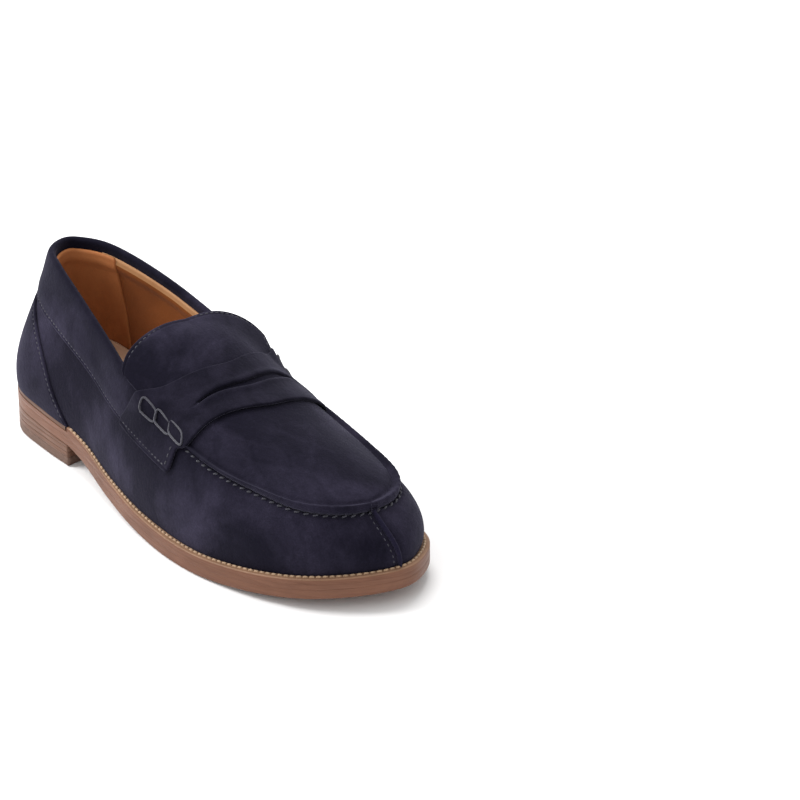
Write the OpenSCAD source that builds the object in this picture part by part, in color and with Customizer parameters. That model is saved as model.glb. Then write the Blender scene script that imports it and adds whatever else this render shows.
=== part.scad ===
// Penny loafer, right foot.
// Toe points to +X, the outer (lateral) side to -Y, the inner (medial) side to +Y, up is +Z.
// The origin is under the middle of the sole, on the ground.

/* [Sole] */
// Length of the outsole
sole_length = 303; // [280:1:320]
// Width of the outsole at the ball of the foot
sole_width = 113; // [104:1:120]
// Thickness of the outsole leather
outsole_t = 5.4; // [4:0.2:6]
// Thickness of the midsole leather
midsole_t = 3.0; // [2:0.2:4]
// Thickness of the welt
welt_t = 2.9; // [2.4:0.1:3.4]
// Height of the outsole's underside over the ground at the back of the heel
heel_back_z = 15.5; // [15:0.5:18]
// Height of the outsole's underside over the ground at the heel breast
heel_breast_z = 12.3; // [11.5:0.1:13]
// Rise of the outsole under the tip of the toe
toe_spring = 9; // [4:0.5:12]

/* [Heel] */
// Distance of the heel breast from the middle of the shoe
heel_breast_x = -78; // [-84:1:-72]
// Thickness of the top piece that touches the ground
top_piece_t = 5; // [4:0.5:6]
// Thickness of each parallel heel lift
heel_lift_t = 3; // [2.5:0.1:3]

/* [Upper] */
// Thickness of the suede
suede_t = 1.4; // [1:0.1:1.8]
// Thickness of the lining leather
lining_t = 1.0; // [0.8:0.1:1.2]
// Thickness of the stiffeners between suede and lining
stiffener_t = 0.9; // [0.6:0.1:1]
// Height of the rolled lip along the edge of the apron
lip_h = 1.7; // [0:0.1:2.5]
// Width of the slit in the saddle strap, as a share of one rib spacing
slit_w = 0.1; // [0.04:0.01:0.14]

/* [Thread] */
// Diameter of the sewing thread
thread_d = 0.7; // [0.4:0.1:1]
// Diameter of the cord that whips the saddle to the tongue
cord_d = 1.5; // [1:0.1:2]
// Distance between two welt stitches
welt_pitch = 5; // [4:0.5:8]

/* [Hidden] */

suede = "#26263a";
tan_lining = "#b8783c";
sole_brown = "#9a6a52";

// One rib per row, from the back of the heel round the outer side to the toe (row 12)
// and back along the inner side: sole edge x, y, then the top edge of the side wall x, y, z.
RIBS = [
    [-151.5, -1, -138, 6, 102], [-147, -18, -130, -6, 102], [-130, -31, -114, -12.5, 100],
    [-100, -35, -88, -18.5, 93.5], [-65, -37, -58, -24, 83.5], [-30, -45, -30, -30.5, 75.5],
    [5, -52, 2, -36, 67], [40, -55.5, 36, -39.5, 58.5], [70, -53.5, 62, -40, 55],
    [100, -46, 91, -36, 53], [124, -33.5, 113, -28, 50], [142, -14, 126.5, -12.5, 47.5],
    [151.5, 8, 131, 5, 46], [147, 25, 128, 22, 45.5], [131, 42, 115, 34, 45.5],
    [103, 51.5, 93, 40.5, 46.5], [72, 56.5, 63, 43.5, 49.5], [40, 56.5, 33, 43.5, 55],
    [5, 49, 3, 41.5, 65], [-28, 38, -28, 39, 76.5], [-62, 31.5, -57, 36.5, 85.5],
    [-100, 33, -88, 32.5, 93.5], [-130, 32.5, -119, 26, 99.5], [-147, 16.5, -136, 16, 101]
];
// Ridge line of the instep, x and z, from the toe to the free end of the tongue
RIDGE = [[131.5, 46.5], [113, 55], [91, 62], [62, 68.5], [36, 77], [10, 87], [-10, 96], [-24, 102.5]];
TOE = 12;                       // rib at the tip of the toe
TURN = len(RIBS);               // ribs once round the shoe
scale_x = sole_length / 303;
scale_y = sole_width / 113;
sole_t = outsole_t + midsole_t;
edge_t = sole_t + welt_t;       // the upper stands on this
gap = 0.05;                     // glue line between two pieces
insole_t = 2.4;
sock_t = 1.2;
pad_t = 3;
cork_t = 2.6;
heel_rib = 3.62;                // rib position of the heel breast
lateral = -1;
medial = 1;

// ---------- curves and surfaces ----------

function unit(v) = v / norm(v);
function smooth(a, b, x) = let (t = min(max((x - a) / (b - a), 0), 1)) t * t * (3 - 2 * t);
function steps(a, b, n) = [for (i = [0:n]) a + (b - a) * i / n];

// Catmull-Rom curve through four neighbours
function spline(a, b, c, d, u) =
    b + 0.5 * u * (c - a + u * (2 * a - 5 * b + 4 * c - d + u * (3 * (b - c) + d - a)));
function row(i) = let (r = RIBS[(i + TURN) % TURN])
    [r[0] * scale_x, r[1] * scale_y, r[2] * scale_x, r[3] * scale_y, r[4]];
function rib(s) = let (i = floor(s)) spline(row(i - 1), row(i), row(i + 1), row(i + 2), s - i);
function ridge_at(i) = let (k = min(max(i, 0), len(RIDGE) - 1), r = RIDGE[k])
    [r[0] * scale_x, r[1]] + (i - k) * [-14, 6.5];
function ridge(v) = let (i = floor(v))
    spline(ridge_at(i - 1), ridge_at(i), ridge_at(i + 1), ridge_at(i + 2), v - i);

// Rib position d ribs away from the heel, on one side of the shoe
function side_rib(side, d) = side == lateral ? d : TURN - d;

// Level of the underside of the outsole
function underside(x) =
    let (waist_end = 40, spring_start = 58, half = sole_length / 2)
    x < heel_breast_x
        ? heel_back_z + (heel_breast_z - heel_back_z) * (x + half) / (heel_breast_x + half)
        : x < waist_end
            ? heel_breast_z * pow((waist_end - x) / (waist_end - heel_breast_x), 2)
            : toe_spring * pow(max(x - spring_start, 0) / (half - spring_start), 1.35);

// Horizontal outward direction of the sole edge
function outward(s) =
    let (d = rib(s + 0.02) - rib(s - 0.02)) unit([d[1], -d[0], 0]);
// How far the upper stands in from the sole edge
function inset(x) = 1.5 + smooth(-80, -50, x) + 1.5 * smooth(-40, 40, x);
// Point of the sole edge, moved in, at a height over the underside
function sole_point(s, into, z) =
    let (r = rib(s), n = outward(s), p = [r[0], r[1], 0] - into * n)
    [p[0], p[1], underside(r[0]) + z];
function feather(s) = sole_point(s, inset(rib(s)[0]), edge_t);

// Side wall: t is 0 at the welt and 1 at the topline or the apron
function wall(s, t) =
    let (
        a = feather(s), r = rib(s), b = [r[2], r[3], r[4]], n = outward(s),
        h = b[2] - a[2], w = smooth(-60, 60, r[0]),
        p = a + n * (3.5 + 0.5 * w) + [0, 0, h * (0.36 + 0.08 * w)],
        q = b + n * (4 + 4 * w) - [0, 0, h * (0.36 - 0.16 * w)]
    )
    pow(1 - t, 3) * a + 3 * pow(1 - t, 2) * t * p + 3 * (1 - t) * t * t * q + t * t * t * b;
function wall_at(s, t, off) =
    let (
        e = 0.02, f = 0.01,
        n = cross(wall(s + e, t) - wall(s - e, t), wall(s, t + f) - wall(s, t - f))
    )
    wall(s, t) + off * unit(n);

// Surface over the instep: v counts ribs back from the toe, and q runs from -1 on the outer
// apron edge to 1 on the inner one, and past them down the side walls.
function over_instep(v, q) =
    let (
        a = rib(TOE - v), b = rib(TOE + v), h = (q + 1) / 2,
        p = [a[2], a[3], a[4]], r = [b[2], b[3], b[4]],
        chord = p + (r - p) * h, c = ridge(v), crown = 1 - pow(abs(q), 2.2)
    )
    chord + crown * [c[0] - (p[0] + r[0]) / 2, 0, c[1] - (p[2] + r[2]) / 2];
// Behind the strap the tongue opens out and stands over the topline
function tongue_flare(v, q) =
    let (
        grown = smooth(5.5, 6.9, v), u = abs(q),
        out = u <= 1 ? pow(u, 3) : exp((1 - u) / 0.12),
        rise = u <= 1 ? 15 * pow(u, 1.5) - 6 : 9 * exp((1 - u) / 0.12)
    )
    grown * [0, 8 * out * sign(q), rise];
function girth(v, q) =
    (abs(q) <= 1 ? over_instep(v, q) : wall(q < 0 ? TOE - v : TOE + v, 2 - abs(q)))
    + tongue_flare(v, q);
function girth_at(v, q, off) =
    let (
        e = 0.05,
        n = cross(girth(v, q + e) - girth(v, q - e), girth(v + e, q) - girth(v - e, q))
    )
    girth(v, q) + off * unit(n);

// ---------- solids ----------

// Closed solid between two grids of points, the outer one and the inner one. A hole [row, first
// column, last column] leaves a slot between that row and the next.
module slab(outer, inner, hole = [-1, 0, 0]) {
    n = len(outer);
    m = len(outer[0]);
    size = n * m;
    function at(i, j) = i * m + j;
    function quad(a, b, c, d) = [[a, b, c], [a, c, d]];
    function solid(i, j) = i != hole[0] || j < hole[1] || j >= hole[2];
    // Side faces: material lies before or behind a row, or before or behind a column
    function row_end(i, j) = quad(at(i, j), at(i, j + 1), size + at(i, j + 1), size + at(i, j));
    function row_start(i, j) = quad(at(i, j + 1), at(i, j), size + at(i, j), size + at(i, j + 1));
    function col_end(i, j) = quad(at(i + 1, j), at(i, j), size + at(i, j), size + at(i + 1, j));
    function col_start(i, j) = quad(at(i, j), at(i + 1, j), size + at(i + 1, j), size + at(i, j));
    faces = concat(
        [for (i = [0:n - 2], j = [0:m - 2]) if (solid(i, j)) each concat(
            quad(at(i, j), at(i, j + 1), at(i + 1, j + 1), at(i + 1, j)),
            quad(size + at(i, j), size + at(i + 1, j), size + at(i + 1, j + 1), size + at(i, j + 1))
        )],
        [for (i = [0:n - 2]) each concat(col_start(i, 0), col_end(i, m - 1))],
        [for (j = [0:m - 2]) each concat(row_start(0, j), row_end(n - 1, j))],
        hole[0] < 0 ? [] : concat(
            [for (j = [hole[1]:hole[2] - 1])
                each concat(row_end(hole[0], j), row_start(hole[0] + 1, j))],
            concat(col_end(hole[0], hole[1]), col_start(hole[0], hole[2]))
        )
    );
    polyhedron(concat([for (r = outer) each r], [for (r = inner) each r]), faces);
}

// Piece of side wall between two rib positions; low and high give its edges at each rib
module wall_panel(s_list, low, high, off_in, off_out, rows) {
    grid = [for (s = s_list) [for (k = [0:rows]) [s, low(s) + (high(s) - low(s)) * k / rows]]];
    slab(
        [for (g = grid) [for (p = g) wall_at(p[0], p[1], off_out)]],
        [for (g = grid) [for (p = g) wall_at(p[0], p[1], off_in)]]
    );
}

// Flat sole piece from rib d0 to rib d1, cut across between the two sides
module plate(d0, d1, into, bottom, top, n = 40) {
    d_list = steps(max(d0, 0.03), min(d1, TOE - 0.03), n);
    function layer(z) = [for (d = d_list) [
        sole_point(side_rib(lateral, d), into, z(d)),
        (sole_point(side_rib(lateral, d), into, z(d)) + sole_point(side_rib(medial, d), into, z(d))) / 2,
        sole_point(side_rib(medial, d), into, z(d))
    ]];
    slab(layer(bottom), layer(top));
}

// Band of sole edge between two insets, over a list of rib positions
module edge_band(s_list, out, into, bottom, top) {
    slab(
        [for (s = s_list) [sole_point(s, out, bottom), sole_point(s, out, top)]],
        [for (s = s_list) [sole_point(s, into, bottom), sole_point(s, into, top)]]
    );
}

// Heel piece with upright sides between two levels
module heel_layer(bottom, top) {
    ring = concat(
        [for (d = steps(heel_rib, 0, 18)) sole_point(d, 0, 0)],
        [for (d = steps(TURN, TURN - heel_rib, 18)) if (d < TURN) sole_point(d, 0, 0)]
    );
    translate([0, 0, bottom]) linear_extrude(top - bottom) polygon([for (p = ring) [p[0], p[1]]]);
}

// Straight stitch between two points
module stitch(a, b, d) {
    v = b - a;
    translate(a)
        rotate([0, acos(v[2] / norm(v)), atan2(v[1], v[0])])
            cylinder(h = norm(v), d = d, $fn = 24);
}

// Row of stitches along a list of points: each covers the given share of its step
module stitch_row(points, share, d) {
    for (i = [0:len(points) - 2])
        stitch(points[i], points[i] + (points[i + 1] - points[i]) * share, d);
}

// Closed loop of round cord with six sides through a list of points
module cord_loop(points, ups, d) {
    n = len(points);
    ring = [for (i = [0:n - 1])
        let (
            ahead = unit(points[(i + 1) % n] - points[(i + n - 1) % n]),
            across = unit(cross(ahead, ups[i])), up = cross(across, ahead)
        )
        each [for (k = [0:5]) points[i] + d / 2 * (cos(60 * k) * across + sin(60 * k) * up)]];
    faces = [for (i = [0:n - 1], k = [0:5])
        let (
            a = i * 6 + k, b = i * 6 + (k + 1) % 6,
            c = ((i + 1) % n) * 6 + (k + 1) % 6, e = ((i + 1) % n) * 6 + k
        )
        each [[a, b, c], [a, c, e]]];
    polyhedron(ring, faces);
}

// ---------- sole ----------

module outsole() {
    color(sole_brown) plate(0, TOE, 0, function (d) 0, function (d) outsole_t, 48);
}

module midsole() {
    color(sole_brown)
        plate(0, TOE, 0.15, function (d) outsole_t + gap, function (d) sole_t, 48);
}

module welt() {
    color("#b98556")
        edge_band(steps(heel_rib, TURN - heel_rib, 80), 0, 11, sole_t + gap, edge_t);
}

module heel_rand() {
    color("#6b4733")
        edge_band(steps(-heel_rib + gap, heel_rib - gap, 32), 0.4, 11, sole_t + gap, edge_t);
}

module cork_filler() {
    color("#c19a6b") difference() {
        plate(0.9, TOE - 0.7, 11.3, function (d) sole_t + gap, function (d) sole_t + cork_t, 32);
        shank_shape(1);
    }
}

// Flat steel bar along the waist; grow widens it for its recess
module shank_shape(grow) {
    length = 96;
    width = 14 + grow;
    translate([-47, -3, underside(-47) + sole_t + 2.4])
        rotate([0, 7.4, 0])
            cube([length + grow, width, grow > 0 ? 4 : 1.6], center = true);
}

module shank() {
    color("silver") shank_shape(0);
}

module insole() {
    color("#c8a47a")
        plate(0, TOE, 7.3, function (d) edge_t + gap, function (d) edge_t + insole_t, 40);
}

module heel_pad() {
    color("#d8c9a8")
        plate(0.3, 3, 12, function (d) edge_t + insole_t + gap, function (d) edge_t + insole_t + pad_t, 10);
}

// The sock rises over the heel pad
function sock_level(d) = edge_t + insole_t + 2 * gap + (pad_t + gap) * smooth(4, 3, d);
module sock_liner() {
    color(tan_lining)
        plate(0, TOE, 7.6, function (d) sock_level(d), function (d) sock_level(d) + sock_t, 40);
}

// ---------- heel ----------

nail_ring = [for (x = [-136, -112, -90], y = [-1, 1]) [x, -1.5 + y * (x < -130 ? 12 : 22)]];
nail_d = 2;
wedge_z = top_piece_t + 2 * heel_lift_t;

module nail_holes(d, z0, z1) {
    for (p = nail_ring) translate([p[0], p[1], z0]) cylinder(h = z1 - z0, d = d, $fn = 32);
}

module heel_wedge() {
    run = heel_breast_x + sole_length / 2;
    slope = atan((heel_back_z - heel_breast_z) / run);
    color("#8e604a") difference() {
        heel_layer(wedge_z + gap, heel_back_z + 1);
        translate([-sole_length / 2, 0, heel_back_z - gap])
            rotate([0, slope, 0]) translate([-20, -60, 0]) cube([140, 120, 20]);
        nail_holes(nail_d, wedge_z - 1, wedge_z + 1.1);
    }
}

module heel_lift_upper() {
    color("#94654e") difference() {
        heel_layer(top_piece_t + heel_lift_t + gap, wedge_z);
        nail_holes(nail_d, top_piece_t, wedge_z + 1);
    }
}

module heel_lift_lower() {
    color("#8a5c47") difference() {
        heel_layer(top_piece_t + gap, top_piece_t + heel_lift_t);
        nail_holes(nail_d, top_piece_t - 1, wedge_z);
    }
}

module heel_nails() {
    color("silver") nail_holes(nail_d, top_piece_t + 0.2, wedge_z + 1);
}

pin_ring = [for (a = [-60:30:60]) [-122 - 20 * cos(a), -1 + 22 * sin(a)]];
pin_d = 1.6;

module pins(d, z0, z1) {
    for (p = pin_ring) translate([p[0], p[1], z0]) cylinder(h = z1 - z0, d = d, $fn = 32);
}

module top_piece() {
    color("#4a342b") difference() {
        heel_layer(0, top_piece_t);
        pins(pin_d, -1, 4);
    }
}

module top_piece_nails() {
    color("goldenrod") pins(pin_d, 0.1, 4);
}

// ---------- upper: stiffeners ----------

stiff_in = -suede_t - gap - stiffener_t;
stiff_out = -suede_t - gap;
lining_out = stiff_in - gap;
lining_in = lining_out - lining_t;

module heel_counter() {
    color("#d9cbb0")
        wall_panel(steps(-3.2, 3.2, 24), function (s) 0.01, function (s) 0.62 - 0.02 * s * s,
            stiff_in, stiff_out, 4);
}

module toe_puff() {
    color("#d9cbb0")
        wall_panel(steps(TOE - 2.2, TOE + 2.2, 24), function (s) 0.01, function (s) 0.86,
            stiff_in, stiff_out, 3);
}

module interlining(side) {
    a = side == lateral ? 3.3 : TOE + 2.3;
    color("#e4dcc8")
        wall_panel(steps(a, a + 6.4, 24), function (s) 0.01, function (s) 0.86,
            stiff_in, stiff_out, 3);
}
module interlining_lateral() { interlining(lateral); }
module interlining_medial() { interlining(medial); }

// ---------- upper: suede ----------

// Height of the lower edge of the collar band and of the seam of the counter cover
function ribs_from_heel(s) = abs(s > TOE ? s - TURN : s);
function collar_low(s) = 0.66 - 0.01 * ribs_from_heel(s);
function counter_high(s) = 0.64 * (1 - pow(ribs_from_heel(s) / 3.65, 3.2));
// The side wall runs up under the collar band at the back and to the apron in front
function side_high(s) = 0.72 + 0.27 * smooth(4.2, 5, ribs_from_heel(s));

module side_wall(side) {
    a = side == lateral ? gap : TOE + 0.02;
    color(suede)
        wall_panel(steps(a, a + TOE - 0.02 - gap, 48), function (s) 0, function (s) side_high(s),
            -suede_t, 0, 6);
}
module side_wall_lateral() { side_wall(lateral); }
module side_wall_medial() { side_wall(medial); }

module counter_cover() {
    color(suede)
        wall_panel(steps(-3.6, 3.6, 32), function (s) 0, function (s) counter_high(s),
            gap, suede_t, 4);
}

// The band is folded over the topline, so its section is a hook: share of the band's height and
// distance out from the wall, from the lower edge outside to the end of the fold inside
module collar_band() {
    end = 5.6;
    section = [[0, 0], [0.5, 0], [0.93, 0], [1, -0.8], [1.02, -2.4], [1, -4.2], [0.86, -4.6]];
    function face(s, k, thick) =
        let (p = section[k], low = collar_low(s), t = low + (1 - low) * p[0])
        wall_at(s, t, k < 3 ? gap + thick : k == 4 ? p[1] + (thick > 0 ? 0.4 : -0.6)
            : k == 3 ? p[1] + thick + 0.4 : p[1] - (thick > 0 ? 0.6 : -0.6));
    s_list = steps(-end, end, 56);
    color(suede) slab(
        [for (s = s_list) [for (k = [0:len(section) - 1]) face(s, k, suede_t - gap)]],
        [for (s = s_list) [for (k = [0:len(section) - 1]) face(s, k, 0)]]
    );
}

// Free end of the tongue: arched across, with rounded corners
function tongue_end(q) = 6.45 - 0.08 * q + 0.42 * sqrt(1 - pow(q, 4));
apron_q = [-1, -0.985, -0.965, -0.94, -0.9, -0.8, -0.6, -0.35, 0, 0.35, 0.6, 0.8, 0.9, 0.94, 0.965, 0.985, 1];
// The lip bulges up near the edge of the apron
function lip(q) = let (u = (abs(q) - 0.955) / 0.045) abs(u) < 1 ? lip_h * (1 - u * u) : 0;

module apron() {
    rows = 26;
    v_of = function (i, q) 0.2 + (tongue_end(q) - 0.2) * i / rows;
    color(suede) slab(
        [for (i = [0:rows]) [for (q = apron_q) girth_at(v_of(i, q), q, gap + suede_t + lip(q))]],
        [for (i = [0:rows]) [for (q = apron_q) girth_at(v_of(i, q), q, gap)]]
    );
}

module apron_lining() {
    rows = 20;
    q_list = [-0.9, -0.7, -0.4, 0, 0.4, 0.7, 0.9];
    v_of = function (i, q) 0.8 + (tongue_end(q) - 0.9) * i / rows;
    color(tan_lining) slab(
        [for (i = [0:rows]) [for (q = q_list) girth_at(v_of(i, q), q, 0)]],
        [for (i = [0:rows]) [for (q = q_list) girth_at(v_of(i, q), q, -lining_t)]]
    );
}

// ---------- upper: lining ----------

lining_high = 0.9;              // top edge of the lining on the wall

module vamp_lining() {
    color(tan_lining)
        wall_panel(steps(7.05, TURN - 7.05, 44), function (s) 0.03, function (s) lining_high,
            lining_in, lining_out, 4);
}

module quarter_lining(side) {
    a = side == lateral ? 2.25 : TURN - 7;
    color(tan_lining)
        wall_panel(steps(a, a + 4.75, 20), function (s) 0.03, function (s) lining_high,
            lining_in, lining_out, 4);
}
module quarter_lining_lateral() { quarter_lining(lateral); }
module quarter_lining_medial() { quarter_lining(medial); }

module heel_grip() {
    color("#7a4a28")
        wall_panel(steps(-2.2, 2.2, 20), function (s) 0.03, function (s) lining_high,
            lining_in, lining_out, 4);
}

// ---------- upper: saddle ----------

tab_q = 1.4;
// Rounds the corners of the strap's two tabs
function tab_corner(q) = 0.14 * (1 - sqrt(1 - pow(max((abs(q) - 1.29) / 0.12, 0), 2)));
function strap_front(q) = 3.45 + 1.3 * pow(min(abs(q - 0.06), 1.15), 1.8) + tab_corner(q);
function strap_back(q) =
    4.75 + 1.5 * pow(min(abs(q), 1), 1.8) + 1.1 * max(abs(q) - 1, 0) - tab_corner(q);
function slit_line(q) = 4.15 + 1.2 * pow(abs(q), 1.8);
strap_off = 2 * (suede_t + gap);

module saddle_strap() {
    front_rows = 4;
    back_rows = 6;
    columns = 36;
    q_list = steps(-tab_q, tab_q, columns);
    function v_list(q) = concat(
        steps(strap_front(q), slit_line(q) - slit_w / 2, front_rows),
        steps(slit_line(q) + slit_w / 2, strap_back(q), back_rows)
    );
    function face(off) = [for (i = [0:front_rows + back_rows + 1])
        [for (q = q_list) girth_at(v_list(q)[i], q, off)]];
    color(suede) slab(face(strap_off), face(strap_off - suede_t), [front_rows, 10, 29]);
}

module toe_seam_strip() {
    color(suede)
        wall_panel(steps(TOE - 0.085, TOE + 0.085, 4), function (s) 0.02, function (s) 0.96,
            gap, 1.1, 8);
}

// Three linked square loops of cord on each side
module saddle_cord(side) {
    loop = [[-1, -0.6], [-1, 0], [-1, 0.6], [-0.6, 1], [0, 1], [0.6, 1], [1, 0.6], [1, 0], [1, -0.6],
        [0.6, -1], [0, -1], [-0.6, -1]];
    color("#4b4f66") for (k = [0:2]) {
        v = 5.19 + 0.36 * k;
        spots = [for (p = loop) [v + 0.16 * p[0], side * (0.98 + 0.025 * k + 0.056 * p[1])]];
        cord_loop(
            [for (p = spots) girth_at(p[0], p[1], strap_off + 0.4)],
            [for (p = spots) girth_at(p[0], p[1], 1) - girth_at(p[0], p[1], 0)],
            cord_d
        );
    }
}
module saddle_cord_lateral() { saddle_cord(lateral); }
module saddle_cord_medial() { saddle_cord(medial); }

// ---------- stitching ----------

module welt_stitches() {
    run = 560;
    n = floor(run / welt_pitch / 2) * 2;
    color("#d9b184")
        stitch_row([for (s = steps(heel_rib + 0.1, TURN - heel_rib - 0.1, n)) sole_point(s, 1.8, edge_t)],
            0.66, thread_d);
}

module apron_stitches() {
    color("#3c4160")
        stitch_row([for (s = steps(7.2, TURN - 7.2, 70)) wall_at(s, 0.955, 0.2)], 0.6, 0.9);
}

module collar_stitches() {
    color("#3c4160")
        stitch_row([for (s = steps(-5, 5, 84)) wall_at(s, collar_low(s) + 0.03, suede_t)],
            0.6, thread_d);
}

module counter_stitches() {
    color("#3c4160")
        stitch_row([for (s = steps(-3.3, 3.3, 50)) wall_at(s, counter_high(s) - 0.03, suede_t)],
            0.6, thread_d);
}

module tongue_stitches() {
    q_list = steps(-0.9, 0.9, 34);
    color("#3c4160")
        stitch_row([for (q = q_list) girth_at(tongue_end(q) - 0.1, q, gap + suede_t)], 0.6, thread_d);
}

module saddle_stitches() {
    color("#3c4160") for (side = [lateral, medial])
        stitch_row([for (v = steps(5.2, 6.4, 12)) girth_at(v, side * (tab_q - 0.055), strap_off)],
            0.6, thread_d);
}

module toe_seam_stitches() {
    color("#3c4160")
        stitch_row([for (t = steps(0.08, 0.9, 12)) wall_at(TOE - 0.17, t, 0)], 0.6, thread_d);
}

outsole();
midsole();
welt();
heel_rand();
heel_wedge();
heel_lift_upper();
heel_lift_lower();
top_piece();
heel_nails();
top_piece_nails();
cork_filler();
shank();
insole();
heel_pad();
sock_liner();
heel_counter();
toe_puff();
interlining_lateral();
interlining_medial();
side_wall_lateral();
side_wall_medial();
counter_cover();
collar_band();
apron();
apron_lining();
vamp_lining();
quarter_lining_lateral();
quarter_lining_medial();
heel_grip();
saddle_strap();
toe_seam_strip();
saddle_cord_lateral();
saddle_cord_medial();
welt_stitches();
apron_stitches();
collar_stitches();
counter_stitches();
tongue_stitches();
saddle_stitches();
toe_seam_stitches();
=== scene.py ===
"""A right-foot penny loafer: detailed shells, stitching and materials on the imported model."""

import math

import bpy
import numpy as np
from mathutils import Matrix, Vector


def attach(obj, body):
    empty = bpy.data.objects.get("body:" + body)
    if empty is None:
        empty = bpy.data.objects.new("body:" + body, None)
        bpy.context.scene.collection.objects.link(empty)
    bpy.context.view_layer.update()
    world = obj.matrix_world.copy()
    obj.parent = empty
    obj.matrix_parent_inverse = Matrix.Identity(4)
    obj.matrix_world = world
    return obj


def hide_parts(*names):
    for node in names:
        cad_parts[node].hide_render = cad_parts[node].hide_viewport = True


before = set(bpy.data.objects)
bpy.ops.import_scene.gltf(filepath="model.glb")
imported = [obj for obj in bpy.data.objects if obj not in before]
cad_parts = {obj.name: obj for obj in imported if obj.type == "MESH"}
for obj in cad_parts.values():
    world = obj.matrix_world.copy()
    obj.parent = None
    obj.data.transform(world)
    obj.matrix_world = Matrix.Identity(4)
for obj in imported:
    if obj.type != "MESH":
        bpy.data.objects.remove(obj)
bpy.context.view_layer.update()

# ---------------------------------------------------------------- the shoe's surfaces, in mm
# One rib per row, from the back of the heel round the outer side to the toe (row 12) and back
# along the inner side: sole edge x, y, then the top edge of the side wall x, y, z.
RIBS = np.array([
    (-151.5, -1, -138, 6, 102), (-147, -18, -130, -6, 102), (-130, -31, -114, -12.5, 100),
    (-100, -35, -88, -18.5, 93.5), (-65, -37, -58, -24, 83.5), (-30, -45, -30, -30.5, 75.5),
    (5, -52, 2, -36, 67), (40, -55.5, 36, -39.5, 58.5), (70, -53.5, 62, -40, 55),
    (100, -46, 91, -36, 53), (124, -33.5, 113, -28, 50), (142, -14, 126.5, -12.5, 47.5),
    (151.5, 8, 131, 5, 46), (147, 25, 128, 22, 45.5), (131, 42, 115, 34, 45.5),
    (103, 51.5, 93, 40.5, 46.5), (72, 56.5, 63, 43.5, 49.5), (40, 56.5, 33, 43.5, 55),
    (5, 49, 3, 41.5, 65), (-28, 38, -28, 39, 76.5), (-62, 31.5, -57, 36.5, 85.5),
    (-100, 33, -88, 32.5, 93.5), (-130, 32.5, -119, 26, 99.5), (-147, 16.5, -136, 16, 101),
], float)
# Ridge line of the instep, x and z, from the toe to the free end of the tongue
RIDGE = np.array([
    (131.5, 46.5), (113, 55), (91, 62), (62, 68.5), (36, 77), (10, 87), (-10, 96), (-24, 102.5),
], float)
TOE = 12
TURN = len(RIBS)
SOLE_LENGTH = 303.0
OUTSOLE_T = 5.4
SOLE_T = 8.4
EDGE_T = 11.3
INSOLE_T = 2.4
SOCK_T = 1.2
HEEL_BACK_Z = 15.5
HEEL_BREAST_Z = 12.3
HEEL_BREAST_X = -78.0
HEEL_RIB = 3.62
TOE_SPRING = 9.0
TOP_PIECE_T = 5.0
LIFT_T = 3.0
WAIST_END_X = 40.0       # the sole touches the ground from here
SPRING_START_X = 58.0    # and rises again towards the toe from here
SUEDE_T = 1.4
LINING_T = 1.0
STIFFENER_T = 0.9
CORD_RADIUS = 0.52
UP = np.array([0.0, 0.0, 1.0])
LATERAL, MEDIAL = -1, 1


def smooth(a, b, x):
    t = np.clip((x - a) / (b - a), 0, 1)
    return t * t * (3 - 2 * t)


def unit(v):
    return v / np.maximum(np.linalg.norm(v, axis=-1, keepdims=True), 1e-9)


def catmull(table, position, closed):
    """Catmull-Rom curve through the rows of a table.

    An open one goes on past both its ends by the step between its last two rows.
    """
    position = np.asarray(position, float)
    i = np.floor(position).astype(int)
    u = (position - i)[..., None]
    last = len(table) - 1
    last_step = table[-1] - table[-2]

    def at(k):
        if closed:
            return table[(i + k) % len(table)]
        inside = np.clip(i + k, 0, last)
        return table[inside] + ((i + k) - inside)[..., None] * last_step

    a, b, c, d = (at(k) for k in (-1, 0, 1, 2))
    return b + 0.5 * u * (c - a + u * (2 * a - 5 * b + 4 * c - d + u * (3 * (b - c) + d - a)))


def rib(s):
    return catmull(RIBS, s, True)


def underside(x):
    """Level of the underside of the outsole."""
    half = SOLE_LENGTH / 2
    heel = HEEL_BACK_Z + (HEEL_BREAST_Z - HEEL_BACK_Z) * (x + half) / (HEEL_BREAST_X + half)
    waist_run = np.clip(WAIST_END_X - x, 0, None) / (WAIST_END_X - HEEL_BREAST_X)
    spring_run = np.clip(x - SPRING_START_X, 0, None) / (half - SPRING_START_X)
    waist = HEEL_BREAST_Z * waist_run**2
    toe = TOE_SPRING * spring_run**1.35
    return np.where(x < HEEL_BREAST_X, heel, np.where(x < WAIST_END_X, waist, toe))


def outward(s):
    """Horizontal outward direction of the sole edge."""
    d = rib(s + 0.02) - rib(s - 0.02)
    return unit(np.stack([d[..., 1], -d[..., 0], 0 * d[..., 0]], -1))


def inset(x):
    """How far the upper stands in from the sole edge."""
    return 1.5 + smooth(-80, -50, x) + 1.5 * smooth(-40, 40, x)


def sole_point(s, into, z):
    """Point of the sole edge, moved in, at a height over the underside."""
    s, into, z = np.broadcast_arrays(np.asarray(s, float), into, z)
    r = rib(s)
    p = np.stack([r[..., 0], r[..., 1], underside(r[..., 0]) + z], -1)
    return p - into[..., None] * outward(s)


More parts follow.
